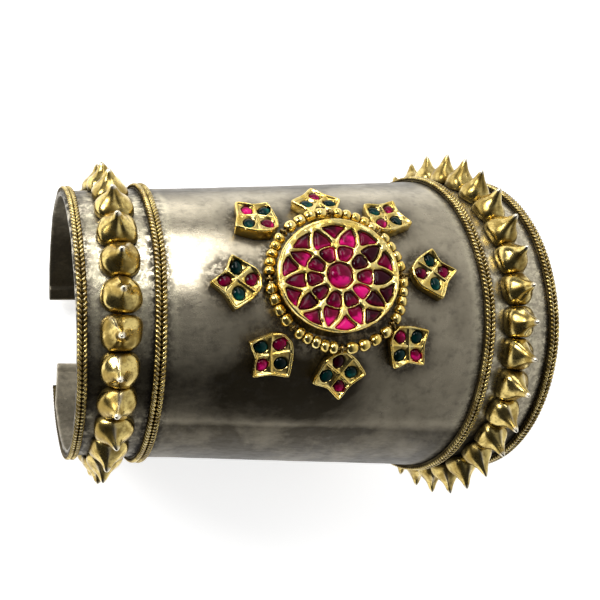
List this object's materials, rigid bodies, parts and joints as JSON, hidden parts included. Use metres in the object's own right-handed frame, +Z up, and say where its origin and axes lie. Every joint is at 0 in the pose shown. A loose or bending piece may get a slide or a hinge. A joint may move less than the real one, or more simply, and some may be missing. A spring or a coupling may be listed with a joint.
{
  "type": "bracelet",
  "caption": "Rigid open forearm cuff of tapered silver sheet with gilt braids and thorn studs, and a jewelled gold medallion with petals on its front.",
  "frame": {"origin": "middle of the cuff's box, on the surface that it lies on", "axes": "+X along the cuff from the wrist end to the forearm end, +Z up with the medallion on top, +Y across"},
  "size_m": [0.1094, 0.0874, 0.082],
  "materials": {
    "silver": "worn satin silver, tarnished",
    "gilt": "worn gilding on silver, dark in the recesses",
    "gold": "burnished high-carat gold foil",
    "ruby": "foil-backed, polished",
    "emerald": "foil-backed, polished"
  },
  "bodies": {
    "root": {"cuff_sheet": "silver", "braid_wrist_edge": "gilt", "braid_wrist_inner": "gilt", "braid_forearm_inner": "gilt", "braid_forearm_edge": "gilt", "studs_wrist": "gilt", "studs_forearm": "gilt", "medallion_setting": "gold", "centre_ruby": "ruby", "inner_rubies": "ruby", "middle_rubies": "ruby", "rim_rubies": "ruby", "bead_ring": "gold", "bead_wire": "gold", "petal_links": "gold", "petal_1_setting": "gold", "petal_1_ruby_in": "ruby", "petal_1_ruby_out": "ruby", "petal_1_emerald_left": "emerald", "petal_1_emerald_right": "emerald", "petal_2_setting": "gold", "petal_2_ruby_in": "ruby", "petal_2_ruby_out": "ruby", "petal_2_emerald_left": "emerald", "petal_2_emerald_right": "emerald", "petal_3_setting": "gold", "petal_3_ruby_in": "ruby", "petal_3_ruby_out": "ruby", "petal_3_emerald_left": "emerald", "petal_3_emerald_right": "emerald", "petal_4_setting": "gold", "petal_4_ruby_in": "ruby", "petal_4_ruby_out": "ruby", "petal_4_emerald_left": "emerald", "petal_4_emerald_right": "emerald", "petal_5_setting": "gold", "petal_5_ruby_in": "ruby", "petal_5_ruby_out": "ruby", "petal_5_emerald_left": "emerald", "petal_5_emerald_right": "emerald", "petal_6_setting": "gold", "petal_6_ruby_in": "ruby", "petal_6_ruby_out": "ruby", "petal_6_emerald_left": "emerald", "petal_6_emerald_right": "emerald", "petal_7_setting": "gold", "petal_7_ruby_in": "ruby", "petal_7_ruby_out": "ruby", "petal_7_emerald_left": "emerald", "petal_7_emerald_right": "emerald", "petal_8_setting": "gold", "petal_8_ruby_in": "ruby", "petal_8_ruby_out": "ruby", "petal_8_emerald_left": "emerald", "petal_8_emerald_right": "emerald"}
  },
  "joints": []
}
